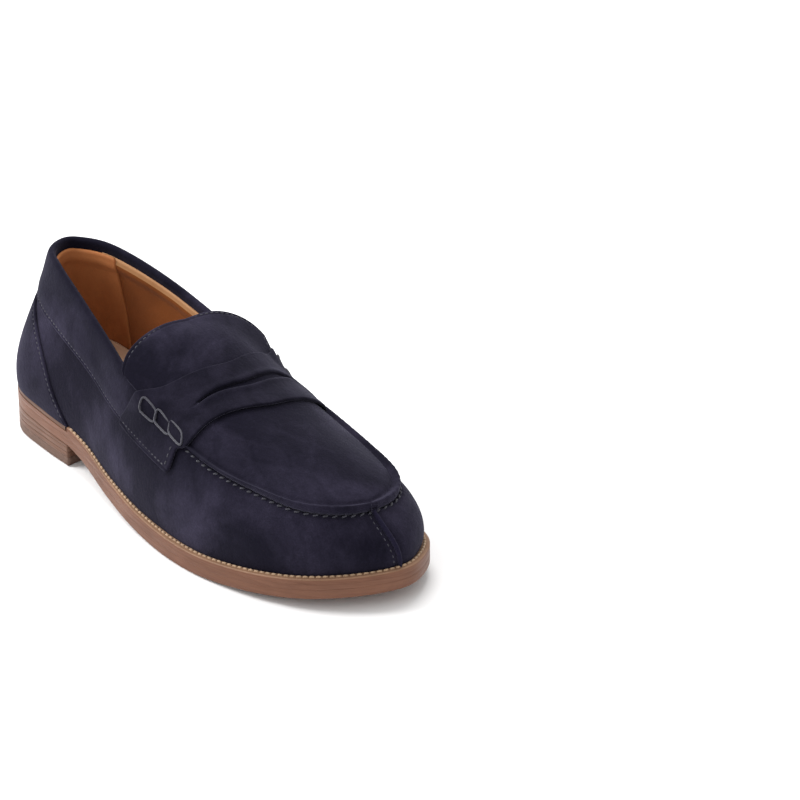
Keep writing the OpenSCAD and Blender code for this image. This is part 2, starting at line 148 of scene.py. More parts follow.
def wall(s, t):
    """Side wall: t is 0 at the welt and 1 at the topline or the apron."""
    s, t = np.broadcast_arrays(np.asarray(s, float), np.asarray(t, float))
    r = rib(s)
    x = r[..., 0]
    a = sole_point(s, inset(x), EDGE_T)
    b = r[..., 2:5]
    n = outward(s)
    h = (b - a)[..., 2:3]
    w = smooth(-60, 60, x)[..., None]
    p = a + n * (3.5 + 0.5 * w) + UP * h * (0.36 + 0.08 * w)
    q = b + n * (4 + 4 * w) - UP * h * (0.36 - 0.16 * w)
    t = t[..., None]
    return (1 - t) ** 3 * a + 3 * (1 - t) ** 2 * t * p + 3 * (1 - t) * t * t * q + t**3 * b


def wall_normal(s, t):
    e, f = 0.02, 0.01
    along = wall(s + e, t) - wall(s - e, t)
    return unit(np.cross(along, wall(s, t + f) - wall(s, t - f)))


def wall_at(s, t, off):
    s, t, off = np.broadcast_arrays(np.asarray(s, float), np.asarray(t, float), off)
    return wall(s, t) + off[..., None] * wall_normal(s, t)


def over_instep(v, q):
    """v counts ribs back from the toe, q runs across from the outer to the inner apron edge."""
    a, b, c = rib(TOE - v)[..., 2:5], rib(TOE + v)[..., 2:5], catmull(RIDGE, v, False)
    crown = 1 - np.abs(q) ** 2.2
    rise = np.stack([c[..., 0] - (a + b)[..., 0] / 2, 0 * v, c[..., 1] - (a + b)[..., 2] / 2], -1)
    return a + (b - a) * ((q + 1) / 2)[..., None] + crown[..., None] * rise


def tongue_flare(v, q):
    """Behind the strap the tongue opens out flat and stands over the topline."""
    grown = smooth(5.5, 6.9, v)
    u = np.abs(q)
    fade = np.exp(np.minimum(1 - u, 0) / 0.12)
    out = np.where(u <= 1, u**3, fade)
    rise = np.where(u <= 1, 15 * u**1.5 - 6, 9 * fade)
    return grown[..., None] * np.stack([0 * v, 8 * out * np.sign(q), rise], -1)


def girth(v, q):
    """over_instep, and past its two edges down the side walls."""
    v, q = np.broadcast_arrays(np.asarray(v, float), np.asarray(q, float))
    over = over_instep(v, np.clip(q, -1, 1))
    down = wall(np.where(q < 0, TOE - v, TOE + v), np.clip(2 - np.abs(q), 0, 1))
    return np.where((np.abs(q) <= 1)[..., None], over, down) + tongue_flare(v, q)


def draped(v, q, reach=0.09):
    """girth with its crease over the apron edge rounded off, as the saddle lies on it."""
    weights = (1, 2, 3, 2, 1)
    shifts = np.linspace(-reach, reach, 5)
    return sum(w * girth(v, q + k) for w, k in zip(weights, shifts)) / sum(weights)


def lifted(surface, v, q, off):
    """Points of a surface over the instep, moved out along its normal."""
    e = 0.05
    v, q, off = np.broadcast_arrays(np.asarray(v, float), np.asarray(q, float), off)
    n = np.cross(surface(v, q + e) - surface(v, q - e), surface(v + e, q) - surface(v - e, q))
    return surface(v, q) + off[..., None] * unit(n)


def girth_at(v, q, off):
    return lifted(girth, v, q, off)


def draped_at(v, q, off):
    return lifted(draped, v, q, off)


# ---------------------------------------------------------------- seam lines of the upper
def ribs_from_heel(s):
    return np.abs(np.where(s > TOE, s - TURN, s))


def collar_low(s):
    return 0.66 - 0.01 * ribs_from_heel(s)


def counter_high(s):
    return 0.64 * (1 - np.clip(ribs_from_heel(s) / 3.65, 0, 1) ** 3.2)


def side_high(s):
    return 0.72 + 0.29 * smooth(4.2, 5, ribs_from_heel(s))


def tongue_end(q):
    return 6.45 - 0.08 * q + 0.42 * np.sqrt(np.clip(1 - q**4, 0, 1))


def strap_front(q):
    return 3.45 + 1.3 * np.minimum(np.abs(q - 0.06), 1.15) ** 1.8 + tab_corner(q)


def strap_back(q):
    across = np.abs(q)
    back = 4.75 + 1.5 * np.minimum(across, 1) ** 1.8 + 1.1 * np.maximum(across - 1, 0)
    return back - tab_corner(q)


def tab_corner(q):
    """Rounds the corners of the strap's two tabs."""
    return 0.14 * (1 - np.sqrt(1 - np.clip((np.abs(q) - 1.29) / 0.12, 0, 1) ** 2))


def slit_line(q):
    return 4.15 + 1.2 * np.abs(q) ** 1.8


# ---------------------------------------------------------------- mesh building
def ripple(points, size, seed):
    """Smooth pseudo-random field over points in mm, mostly within -1..1."""
    rng = np.random.default_rng(seed)
    total = 0
    for _ in range(6):
        direction = unit(rng.normal(size=3)) * rng.uniform(0.7, 1.4) * 2 * math.pi / size
        total = total + np.sin(points @ direction + rng.uniform(0, 6.28))
    return total / 3.2


def mesh_object(name, verts_mm, faces, slot, material):
    """A visible piece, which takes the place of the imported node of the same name."""
    mesh = bpy.data.meshes.new(name)
    mesh.from_pydata((np.asarray(verts_mm) / 1000).tolist(), [], [list(map(int, f)) for f in faces])
    mesh.validate()
    mesh.polygons.foreach_set("use_smooth", [True] * len(mesh.polygons))
    mesh.materials.append(material)
    mesh.update()
    piece = bpy.data.objects.new(name, mesh)
    bpy.context.scene.collection.objects.link(piece)
    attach(piece, "root")
    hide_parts(name)
    return piece


def grid_faces(n, m, wrap_rows=False, wrap_columns=False):
    """Quads of a grid of n rows and m columns of points."""
    i = np.arange(n if wrap_rows else n - 1)
    j = np.arange(m if wrap_columns else m - 1)
    i, j = (a.ravel() for a in np.meshgrid(i, j, indexing="ij"))
    a, b = i * m + j, i * m + (j + 1) % m
    c, d = ((i + 1) % n) * m + (j + 1) % m, ((i + 1) % n) * m + j
    return np.stack([a, d, c, b], -1)


def run(points, axis):
    """Distance travelled along an axis of a grid of points."""
    step = np.linalg.norm(np.diff(points, axis=axis), axis=-1)
    start = np.zeros_like(np.take(step, [0], axis=axis))
    return np.concatenate([start, np.cumsum(step, axis=axis)], axis=axis)


def fine_ends(length, step):
    """Shares 0..1 of a length in mm, close together near both ends and even between."""
    near = np.array([0, 0.15, 0.4, 0.8, 1.3, 1.7, 2.1, 2.5, 2.9, 3.5])
    near = near[near < length * 0.4]
    count = max(int((length - 2 * near[-1]) / step), 2)
    middle = np.linspace(near[-1], length - near[-1], count + 1)[1:-1]
    return np.concatenate([near, middle, (length - near)[::-1]]) / length


def edge_distances(points):
    """Distances to the four edges of a grid: first row, last row, first and last column."""
    down, across = run(points, 0), run(points, 1)
    return down, down[-1:] - down, across, across[:, -1:] - across


def shell(surface, u, v, lift, thick, free=(1, 1, 1, 1), channels=(), relief=None):
    """Two grids of points: a leather piece with rounded cut edges.

    free says which edges are cut and rounded: first row, last row, first and last column.
    channels lists sewn channels: edge number, distance from it, width and depth in mm.
    relief(points, edge distances) adds height to the outer face.
    """
    base = surface(u, v, np.zeros(np.broadcast(u, v).shape))
    edges = edge_distances(base)
    radius = 0.75 * thick
    ease = np.ones(base.shape[:2])
    for is_free, distance in zip(free, edges):
        if is_free:
            ease = np.minimum(ease, np.sqrt(1 - (1 - np.clip(distance / radius, 0, 1)) ** 2))
    outer = lift + thick * (0.4 + 0.6 * ease)
    inner = lift + thick * 0.25 * (1 - ease)
    for edge, where, width, depth in channels:
        outer = outer - depth * np.exp(-(((edges[edge] - where) / width) ** 2))
    if relief is not None:
        outer = outer + relief(base, edges)
    return surface(u, v, outer), surface(u, v, inner)


def slab_mesh(outer, inner, hole=None):
    """Vertices and faces of the closed solid between two grids.

    hole = (row, first column, last column) leaves the cells between that row and the next out.
    """
    n, m = outer.shape[:2]
    size = n * m
    keep = np.ones((n - 1, m - 1), bool)
    if hole:
        keep[hole[0], hole[1]:hole[2]] = False
    top = grid_faces(n, m)[keep.ravel()]
    faces = [top[:, ::-1], top + size]

    def side(a, b):
        faces.append(np.stack([a, b, b + size, a + size], -1))

    at = np.arange(size).reshape(n, m)
    side(at[0, 1:], at[0, :-1])
    side(at[-1, :-1], at[-1, 1:])
    side(at[:-1, 0], at[1:, 0])
    side(at[1:, -1], at[:-1, -1])
    if hole:
        r, c0, c1 = hole
        side(at[r, c0:c1], at[r, c0 + 1:c1 + 1])
        side(at[r + 1, c0 + 1:c1 + 1], at[r + 1, c0:c1])
        side(at[r + 1:r + 2, c0], at[r:r + 1, c0])
        side(at[r:r + 1, c1], at[r + 1:r + 2, c1])
    verts = np.concatenate([outer.reshape(-1, 3), inner.reshape(-1, 3)])
    return verts, np.concatenate(faces)


def wall_grid(s_values, low, high, step=1.6):
    """Rib and height grids for a piece of side wall between two edges."""
    s = np.asarray(s_values)[:, None]
    middle = s_values[len(s_values) // 2]
    a, b = float(low(np.array(middle))), float(high(np.array(middle)))
    length = np.linalg.norm(wall(middle, b) - wall(middle, a))
    share = fine_ends(max(length, 6), step)[None]
    t = low(s) + (high(s) - low(s)) * share
    return np.broadcast_to(s, t.shape), t


def fine_span(a, b, surface_points, step):
    """Values from a to b, spaced evenly in between and closely near both ends."""
    length = run(surface_points(np.linspace(a, b, 200))[None], 1)[0]
    share = fine_ends(length[-1], step)
    return np.interp(share * length[-1], length, np.linspace(a, b, 200))


def constant(value):
    return lambda s: value + 0 * s


# ---------------------------------------------------------------- stitches and cords
def grains(centres, along, normals, half_length, half_width, height):
    """Verts and faces of stitches: a rounded thread lying on the leather and dipping in at its ends."""
    rings, sides = 9, 10
    sink = 0.25
    x = np.linspace(-1, 1, rings)
    bulge = np.sqrt(np.clip(1 - np.abs(x) ** 3.5, 0, 1))
    angle = np.arange(sides) * 2 * math.pi / sides
    across = unit(np.cross(normals, along))
    along = unit(along)
    place = centres[:, None, None] + along[:, None, None] * (x * half_length)[None, :, None, None]
    round_y = (bulge[:, None] * np.cos(angle)[None] * half_width)[None, ..., None]
    lift = height * (1 - x**4) - sink
    round_z = (lift[:, None] + bulge[:, None] * np.sin(angle)[None] * half_width)[None, ..., None]
    verts = place + across[:, None, None] * round_y + normals[:, None, None] * round_z
    tube = grid_faces(rings, sides, wrap_columns=True)
    ends = [list(range(sides)), list(range((rings - 1) * sides, rings * sides))[::-1]]
    faces = []
    for k in range(len(centres)):
        shift = k * rings * sides
        faces.extend((tube[:, ::-1] + shift).tolist())
        faces.extend([[i + shift for i in reversed(end)] for end in ends])
    return verts.reshape(-1, 3), faces


def even_path(points, pitch):
    """Centres, directions and shares of the length, at an even pitch along a dense path."""
    length = run(points[None], 1)[0]
    count = max(int(length[-1] / pitch), 2)
    at = (np.arange(count) + 0.5) * length[-1] / count
    centre = np.stack([np.interp(at, length, points[:, k]) for k in range(3)], -1)
    ahead = np.stack([np.interp(at + 0.4, length, points[:, k]) for k in range(3)], -1)
    behind = np.stack([np.interp(at - 0.4, length, points[:, k]) for k in range(3)], -1)
    return centre, unit(ahead - behind), at / length[-1]


def stitch_line(points, normals, pitch, half_length, half_width, height, slant=0.0):
    """Stitches along a dense path whose surface normals are given."""
    centre, along, share = even_path(points, pitch)
    length = run(points[None], 1)[0]
    place = length / length[-1]
    up = unit(np.stack([np.interp(share, place, normals[:, k]) for k in range(3)], -1))
    if slant:
        along = unit(along + slant * np.cross(up, along))
    return grains(centre, along, up, half_length, half_width, height)


def joined(parts):
    """One list of verts and faces out of several."""
    verts, faces, shift = [], [], 0
    for v, f in parts:
        verts.append(v)
        faces.extend([[i + shift for i in face] for face in f])
        shift += len(v)
    return np.concatenate(verts), faces


def twisted_loop(points, ups, radius, lay, sides=18, strands=3):
    """Closed loop of cord laid up from strands; lay is the length of one twist in mm."""
    ahead = unit(np.roll(points, -1, 0) - np.roll(points, 1, 0))
    across = unit(np.cross(ahead, ups))
    up = np.cross(across, ahead)
    gone = run(points[None], 1)[0][:, None]
    turns = max(round(gone[-1, 0] / lay), 1)
    angle = np.arange(sides)[None] * 2 * math.pi / sides
    twist = 2 * math.pi * turns * gone / gone[-1]
    r = radius * (0.86 + 0.2 * np.abs(np.cos(strands * (angle + twist / strands) / 2)))[..., None]
    ring = np.cos(angle)[..., None] * across[:, None] + np.sin(angle)[..., None] * up[:, None]
    verts = (points[:, None] + r * ring).reshape(-1, 3)
    return verts, grid_faces(len(points), sides, True, True).tolist()


# ---------------------------------------------------------------- materials
class Graph:
    """A material's nodes, in shorthand."""

    def __init__(self, name):
        self.material = bpy.data.materials.new(name)
        self.material.use_nodes = True
        self.nodes = self.material.node_tree.nodes
        self.links = self.material.node_tree.links
        self.bsdf = self.nodes["Principled BSDF"]
        self.place = self.nodes.new("ShaderNodeTexCoord").outputs["Object"]

    def put(self, socket, value):
        if isinstance(value, bpy.types.NodeSocket):
            self.links.new(value, socket)
        else:
            socket.default_value = value

    def node(self, kind, output, inputs=None, **settings):
        node = self.nodes.new(kind)
        for key, value in settings.items():
            setattr(node, key, value)
        for key, value in (inputs or {}).items():
            self.put(node.inputs[key], value)
        return node.outputs[output]

    def stretched(self, scale, turn=(0, 0, 0)):
        inputs = {"Vector": self.place, "Scale": scale, "Rotation": turn}
        return self.node("ShaderNodeMapping", "Vector", inputs)

    def noise(self, scale, detail=3.0, rough=0.5, warp=0.0, place=None):
        inputs = {"Vector": place or self.place, "Scale": scale, "Detail": detail,
                  "Roughness": rough, "Distortion": warp}
        return self.node("ShaderNodeTexNoise", "Fac", inputs)

    def scaled_noise(self, size, scale):
        """A vector that wanders by about size, to bend a pattern."""
        colour = self.node("ShaderNodeTexNoise", "Color", {"Vector": self.place, "Scale": scale})
        centred = self.node("ShaderNodeVectorMath", "Vector", {0: colour, 1: (0.5, 0.5, 0.5)},
                            operation="SUBTRACT")
        return self.node("ShaderNodeVectorMath", "Vector", {0: centred, "Scale": size},
                         operation="SCALE")

    def cells(self, scale):
        inputs = {"Vector": self.place, "Scale": scale}
        return self.node("ShaderNodeTexVoronoi", "Distance", inputs, feature="F1")

    def ramp(self, value, stops):
        node = self.nodes.new("ShaderNodeValToRGB")
        self.put(node.inputs["Fac"], value)
        points = node.color_ramp.elements
        while len(points) < len(stops):
            points.new(1.0)
        for point, (where, colour) in zip(points, stops):
            point.position = where
            point.color = (*colour, 1)
        return node.outputs["Color"]

    def level(self, value, low, high, to_low=0.0, to_high=1.0):
        inputs = {"Value": value, "From Min": low, "From Max": high, "To Min": to_low, "To Max": to_high}
        return self.node("ShaderNodeMapRange", "Result", inputs)

    def math(self, operation, a, b=0.0):
        node = self.nodes.new("ShaderNodeMath")
        node.operation = operation
        self.put(node.inputs[0], a)
        self.put(node.inputs[1], b)
        return node.outputs[0]

    def mix(self, factor, a, b, blend="MIX"):
        node = self.nodes.new("ShaderNodeMix")
        node.data_type = "RGBA"
        node.blend_type = blend
        self.put(node.inputs["Factor"], factor)
        self.put(node.inputs["A"], a)
        self.put(node.inputs["B"], b)
        return node.outputs["Result"]

    def bump(self, height, strength, distance, normal=None):
        inputs = {"Height": height, "Strength": strength, "Distance": distance}
        if normal is not None:
            inputs["Normal"] = normal
        return self.node("ShaderNodeBump", "Normal", inputs)

    def finish(self, colour, roughness, normal=None, **constants):
        self.put(self.bsdf.inputs["Base Color"], colour)
        self.put(self.bsdf.inputs["Roughness"], roughness)
        if normal is not None:
            self.put(self.bsdf.inputs["Normal"], normal)
        for key, value in constants.items():
            self.bsdf.inputs[key.replace("_", " ")].default_value = value
        return self.material


# Lighter spots, partly where hands have brushed the nap up and partly painted light where the tongue and
# heel are lit: centre in metres, reach
NAP_AND_LIGHT_SPOTS = (
    ((-0.112, -0.036, 0.070), 0.030), ((-0.140, -0.022, 0.045), 0.024), ((-0.048, -0.043, 0.034), 0.022),
    ((-0.012, -0.048, 0.030), 0.020), ((0.052, -0.055, 0.030), 0.030), ((-0.020, -0.004, 0.098), 0.036),
    ((-0.105, 0.036, 0.066), 0.030), ((-0.030, 0.042, 0.040), 0.026), ((0.060, 0.055, 0.032), 0.028),
)


def suede_material(name, light=1.0, seed=0.0):
    """Navy suede: fine upright nap, lighter in soft patches raised by brushing, and painted light in
    spots where the tongue and heel are lit.
    """
    g = Graph(name)
    warped = g.node("ShaderNodeVectorMath", "Vector",
                    {0: g.place, 1: g.scaled_noise(0.03, 35)}, operation="ADD")
    moved = g.node("ShaderNodeMapping", "Vector", {"Vector": g.place, "Location": (seed, 0, 0)})
    patches = g.noise(13, 4, 0.55, 1.2, moved)
    strokes = g.noise(55, 5, 0.6, 0.8, g.stretched((1, 1.6, 0.55), (0.3, 0.2, 0.5)))
    nap = g.noise(1300, 3, 0.7)
    fluff = g.noise(420, 4, 0.65)
    mottle = g.math("ADD", g.math("MULTIPLY", patches, 0.7), g.math("MULTIPLY", strokes, 0.3))
    for centre, radius in NAP_AND_LIGHT_SPOTS:
        apart = g.node("ShaderNodeVectorMath", "Value", {0: warped, 1: centre}, operation="DISTANCE")
        mottle = g.math("ADD", mottle, g.level(apart, radius, radius * 0.2, 0.0, 0.22))
    # Mix of the nap patches and the spots, which are partly painted light
    brushed_and_lit = g.level(mottle, 0.47, 0.76)
    dark = tuple(c * light for c in (0.0050, 0.0043, 0.0100))
    pale = tuple(c * light for c in (0.0245, 0.0213, 0.0385))
    colour = g.mix(brushed_and_lit, (*dark, 1), (*pale, 1))
    speck = g.ramp(g.math("ADD", g.math("MULTIPLY", nap, 0.6), g.math("MULTIPLY", fluff, 0.4)),
                   [(0.3, (0.62, 0.62, 0.62)), (0.52, (1, 1, 1)), (0.72, (1.5, 1.48, 1.42))])
    colour = g.mix(1.0, colour, speck, "MULTIPLY")
    normal = g.bump(strokes, 0.25, 0.0012)
    normal = g.bump(fluff, 0.5, 0.0005, normal)
    normal = g.bump(nap, 0.6, 0.00025, normal)
    return g.finish(colour, g.level(nap, 0.3, 0.7, 0.86, 1.0), normal,
                    Sheen_Weight=0.22, Sheen_Roughness=0.45, Sheen_Tint=(0.30, 0.29, 0.40, 1),
                    Specular_IOR_Level=0.06)


def smooth_leather(name, base, deep, gloss, pores=700, sheen=0.05):
    """Smooth lining or sock leather: fine grain cells, soft creases and slow colour change."""
    g = Graph(name)
    tone = g.noise(22, 5, 0.6, 0.6)
    grain = g.cells(pores)
    crease = g.noise(90, 6, 0.62, 0.4)
    colour = g.mix(g.level(tone, 0.35, 0.7), (*base, 1), (*deep, 1))
    colour = g.mix(g.level(grain, 0.0, 0.35, 0.22, 0.0), colour, (*[c * 0.5 for c in deep], 1))
    normal = g.bump(crease, 0.2, 0.0006)
    normal = g.bump(grain, 0.35, 0.00012, normal)
    return g.finish(colour, g.level(crease, 0.3, 0.7, gloss - 0.08, gloss + 0.1), normal,
                    Sheen_Weight=sheen, Specular_IOR_Level=0.25)


def edge_leather(name, base, deep, layers=0.0, gloss=0.42, face=None):
    """Cut leather edge: fine fibres along it, sanded, dyed and waxed; face is its paler top."""
    g = Graph(name)
    fibres = g.noise(260, 5, 0.65, 0.3, g.stretched((0.14, 0.14, 4.0)))
    tone = g.noise(38, 4, 0.6, 0.5, g.stretched((1, 1, 2.2)))
    spots = g.noise(900, 2, 0.5)
    mixed = g.math("ADD", g.math("MULTIPLY", fibres, 0.6), g.math("MULTIPLY", tone, 0.4))
    colour = g.mix(g.level(mixed, 0.38, 0.64), (*base, 1), (*deep, 1))
    height = fibres
    if layers:
        lines = g.node("ShaderNodeTexWave", "Fac",
                       {"Vector": g.place, "Scale": layers, "Distortion": 1.6, "Detail": 3,
                        "Detail Scale": 6.0},
                       bands_direction="Z")
        colour = g.mix(g.level(lines, 0.0, 0.3, 0.2, 0.0), colour, (*[c * 0.5 for c in deep], 1))
        height = g.math("ADD", fibres, g.math("MULTIPLY", lines, 0.2))
    if face:
        normal_out = g.nodes.new("ShaderNodeNewGeometry").outputs["Normal"]
        upward = g.node("ShaderNodeSeparateXYZ", "Z", {"Vector": normal_out})
        top = g.mix(g.level(tone, 0.35, 0.65), (*face, 1), (*[c * 0.75 for c in face], 1))
        colour = g.mix(g.level(upward, 0.35, 0.75), colour, top)
    normal = g.bump(height, 0.35, 0.0004)
    normal = g.bump(spots, 0.2, 0.0001, normal)
    return g.finish(colour, g.level(fibres, 0.3, 0.7, gloss - 0.08, gloss + 0.14), normal,
                    Specular_IOR_Level=0.28)


def thread_material(name, base, bright):
    """Waxed spun thread: fine fibres and a soft shine."""
    g = Graph(name)
    fibres = g.noise(2600, 3, 0.6, 0.2)
    tone = g.noise(160, 3, 0.5)
    colour = g.mix(g.level(fibres, 0.35, 0.65), (*base, 1), (*bright, 1))
    colour = g.mix(g.level(tone, 0.4, 0.7, 0.0, 0.4), colour, (*[c * 0.6 for c in base], 1))
    return g.finish(colour, g.level(fibres, 0.3, 0.7, 0.5, 0.75), g.bump(fibres, 0.5, 0.0001),
                    Sheen_Weight=0.3, Sheen_Roughness=0.5, Specular_IOR_Level=0.3)


def grainy_material(name, base, deep, cell, gloss, metallic=0.0):
    """Cork, foam, board, cloth, rubber or metal."""
    g = Graph(name)
    lumps = g.cells(cell)
    fine = g.noise(cell * 3, 4, 0.6)
    colour = g.mix(g.level(g.math("ADD", lumps, g.math("MULTIPLY", fine, 0.5)), 0.3, 0.95),
                   (*deep, 1), (*base, 1))
    return g.finish(colour, g.level(fine, 0.3, 0.7, gloss - 0.06, gloss + 0.08),
                    g.bump(lumps, 0.3, 0.0004), Metallic=metallic)


SUEDE = suede_material("navy_suede")
SUEDE_OVER = suede_material("navy_suede_overlay", 1.05, 0.31)
SUEDE_STRAP = suede_material("navy_suede_strap", 0.85, 0.77)
# Suede painted 2.3 times lighter for the toe seam ridge: a painted highlight along the ridge
SUEDE_RIDGE_HIGHLIGHT = suede_material("navy_suede_ridge_painted_highlight", 2.3, 0.31)
BROWN, DEEP_BROWN = (0.170, 0.072, 0.040), (0.118, 0.047, 0.025)
TAN = smooth_leather("tan_lining_leather", (0.23, 0.067, 0.013), (0.168, 0.046, 0.008), 0.5)
# Paler copy of the lining leather for its top strip: a painted highlight where the turned edge catches
# the light
TAN_PAINTED_HIGHLIGHT = smooth_leather("tan_lining_painted_highlight", (0.46, 0.24, 0.11), (0.38, 0.18, 0.075), 0.5)
GRIP = smooth_leather("brown_heel_grip_leather", (0.42, 0.155, 0.053), (0.31, 0.104, 0.032), 0.75,
                      pores=1100, sheen=0.0)
SOCK = smooth_leather("sock_leather", (0.76, 0.53, 0.37), (0.66, 0.44, 0.29), 0.45)
SOLE = edge_leather("sole_leather", BROWN, DEEP_BROWN)
HEEL = edge_leather("stacked_heel_leather", (0.165, 0.080, 0.050), (0.115, 0.053, 0.032), 300)
WELT = edge_leather("welt_leather", BROWN, DEEP_BROWN, 0, 0.5, (0.27, 0.15, 0.088))
RAND = edge_leather("rand_leather", (0.15, 0.08, 0.053), (0.09, 0.047, 0.031), 0, 0.5)
NAVY_THREAD = thread_material("navy_thread", (0.010, 0.010, 0.017), (0.038, 0.036, 0.056))
CORD = thread_material("saddle_cord", (0.013, 0.0125, 0.021), (0.040, 0.038, 0.056))
WELT_THREAD = thread_material("welt_thread", (0.33, 0.205, 0.12), (0.50, 0.345, 0.215))
TOP_PIECE = grainy_material("top_piece_rubber", (0.135, 0.073, 0.05), (0.085, 0.045, 0.03), 900, 0.62)

# ---------------------------------------------------------------- the upper
LINING_OUT = -SUEDE_T - STIFFENER_T - 0.15
LINING_IN = LINING_OUT - LINING_T


def soft_surface(depth, size, seed):
    """Relief: slow swells of leather that was pulled over a last."""
    return lambda base, edges: depth * ripple(base, size, seed)


def side_wall(side, name):
    a, b = (0.05, TOE - 0.03) if side == LATERAL else (TOE + 0.03, TURN - 0.05)
    s_values = fine_span(a, b, lambda s: wall(s, 0.4 + 0 * s), 1.8)
    s, t = wall_grid(s_values, constant(0.0), side_high)

    def relief(base, edges):
        # The wall is gathered a little into the apron seam
        toe_share = smooth(7, 8.5, ribs_from_heel(s))
        gathers = np.cos(run(base, 0) * 2 * math.pi / 4.8) * np.exp(-edges[3] / 3.2)
        from_ends = np.minimum(edges[0], edges[1])
        groove = np.exp(-((from_ends / 2.2) ** 2)) * smooth(11, 11.5, ribs_from_heel(s))
        return (0.12 * ripple(base, 42, 3) + 0.05 * ripple(base, 14, 5)
                + 0.34 * toe_share * gathers - 0.5 * groove
                - 0.9 * toe_share * np.exp(-((edges[3] / 1.6) ** 2)))

    outer, inner = shell(wall_at, s, t, -SUEDE_T, SUEDE_T, (1, 1, 0, 1), [(3, 2.4, 0.8, 0.25)], relief)
    return mesh_object(name, *slab_mesh(outer, inner), "navy_suede", SUEDE)


def counter_cover():
    s_values = fine_span(-3.62, 3.62, lambda s: wall(s, 0.2 + 0 * s), 1.6)
    s, t = wall_grid(s_values, constant(0.0), counter_high)
    outer, inner = shell(wall_at, s, t, 0.03, SUEDE_T, (0, 0, 0, 1), [(3, 2.2, 0.45, 0.45)],
                         soft_surface(0.1, 34, 8))
    return mesh_object("counter_cover", *slab_mesh(outer, inner), "navy_suede", SUEDE_OVER)


def collar_band():
    """The band is sewn down outside along two rows and folded over the topline to the inside."""
    end = 5.6
    s = fine_span(-end, end, lambda s: wall(s, 1 + 0 * s), 1.6)[:, None]
    low = collar_low(s)
    band = np.linalg.norm(wall(0.0, 1.0) - wall(0.0, 0.66))
    outside = fine_ends(band, 1.5)
    outside = np.concatenate([outside[outside < 0.83], [0.85, 0.88, 0.91, 0.935, 0.96, 0.98]])
    first_angle = 0.35
    roll_angle = np.linspace(first_angle, math.pi, 10)
    roll_radius = 2.15
    fold = 1.0 - 0.018
    t_out = low + (fold - low) * outside
    edge = outside * band
    puff = (1 - np.exp(-(band - edge) / 2.8)) * smooth(0, 9, edge)
    ease = np.sqrt(1 - (1 - np.clip(edge / 1.0, 0, 1)) ** 2)
    channel = 0.4 * np.exp(-((edge - 2.0) / 0.4) ** 2) + 0.4 * np.exp(-((edge - 4.2) / 0.4) ** 2)
    outer = [wall_at(s, t_out, (0.05 + SUEDE_T * (0.4 + 0.6 * ease) + puff - channel)[None])]
    inner = [wall_at(s, t_out, (0.05 + 0.2 * (1 - ease))[None])]
    # Rolled edge: not quite half a turn, from the outer face to the inner flap
    top = wall(s, np.full_like(s, fold))
    out = wall_normal(s, np.full_like(s, fold))
    rise = unit(wall(s, np.full_like(s, fold)) - wall(s, np.full_like(s, fold - 0.02)))
    face = SUEDE_T + 0.05
    start_out, start_up = math.cos(first_angle), math.sin(first_angle)
    centre = top + out * (face - roll_radius * start_out) - rise * roll_radius * start_up
    for radius, group in ((roll_radius, outer), (roll_radius - SUEDE_T * 0.8, inner)):
        outwards = np.cos(roll_angle)[None, :, None] * out
        upwards = np.sin(roll_angle)[None, :, None] * rise
        group.append(centre + radius * (outwards + upwards))
    # Flap on the inside, about 6 mm long
    flap = np.array([0.02, 0.045, 0.065, 0.075, 0.082])
    flap_t = fold - flap
    flap_face = face - roll_radius * (1 + start_out)
    thin = np.array([0, 0, 0.05, 0.25, 0.6])
    outer.append(wall_at(s, flap_t[None] + 0 * s, (flap_face + thin)[None]))
    inner.append(wall_at(s, flap_t[None] + 0 * s, (flap_face + SUEDE_T * 0.7 + 0 * thin)[None]))
    outer, inner = np.concatenate(outer, 1), np.concatenate(inner, 1)
    outer = outer + 0.06 * ripple(outer, 26, 12)[..., None] * wall_normal(s, 0.9 + 0 * s)
    return mesh_object("collar_band", *slab_mesh(outer, inner), "navy_suede", SUEDE_OVER)


def apron():
    """Apron and tongue in one piece, with a rolled lip round the toe."""
    q_edge = np.array([0, 0.006, 0.014, 0.024, 0.036, 0.05, 0.066, 0.084, 0.105, 0.13, 0.16])
    q = np.concatenate([-1 + q_edge, np.linspace(-0.8, 0.8, 49), (1 - q_edge)[::-1]])[None]
    share = np.concatenate([np.linspace(0, 0.9, 110), 0.9 + 0.1 * fine_ends(18, 1.2)[4:]])[:, None]
    start = 0.015
    v = start + (tongue_end(q) - start) * share
    q = np.broadcast_to(q, v.shape)
    base = girth(v, q)
    from_edge = np.minimum(*edge_distances(base)[2:])
    lip_share = 1 - smooth(4.6, 5.6, v)
    lip = 2.9 * np.exp(-((from_edge - 2.0) / 1.75) ** 2) * lip_share
    trough = -0.8 * np.exp(-((from_edge - 5.3) / 1.0) ** 2) * lip_share
    beat = np.cos(run(base, 0) * 2 * math.pi / 4.8 + 1.2 * ripple(base, 30, 23))
    gathers = 0.3 * beat * np.exp(-from_edge / 2.6) * lip_share * (1.3 - 0.25 * v)
    gathers = gathers * smooth(0.3, 0.8, v)
    end_distance = edge_distances(base)[1]
    sewn = -0.4 * np.exp(-((end_distance - 2.4) / 0.45) ** 2)
    sewn = sewn - 0.4 * np.exp(-((from_edge - 2.4) / 0.45) ** 2) * smooth(5.7, 6.0, v)
    swell = 0.16 * ripple(base, 48, 21) + 0.05 * ripple(base, 16, 22)

    def relief(_base, _edges):
        return lip + trough + gathers + sewn + swell

    outer, _ = shell(girth_at, v, q, 0.05, SUEDE_T, (0, 1, 1, 1), (), relief)
    tucked = 1.3 * np.exp(-from_edge / 1.2) * lip_share
    end_ease = 0.4 * np.exp(-end_distance / 0.8)
    inner = girth_at(v, q, 0.05 - tucked + end_ease)
    return mesh_object("apron", *slab_mesh(outer, inner), "navy_suede", SUEDE)


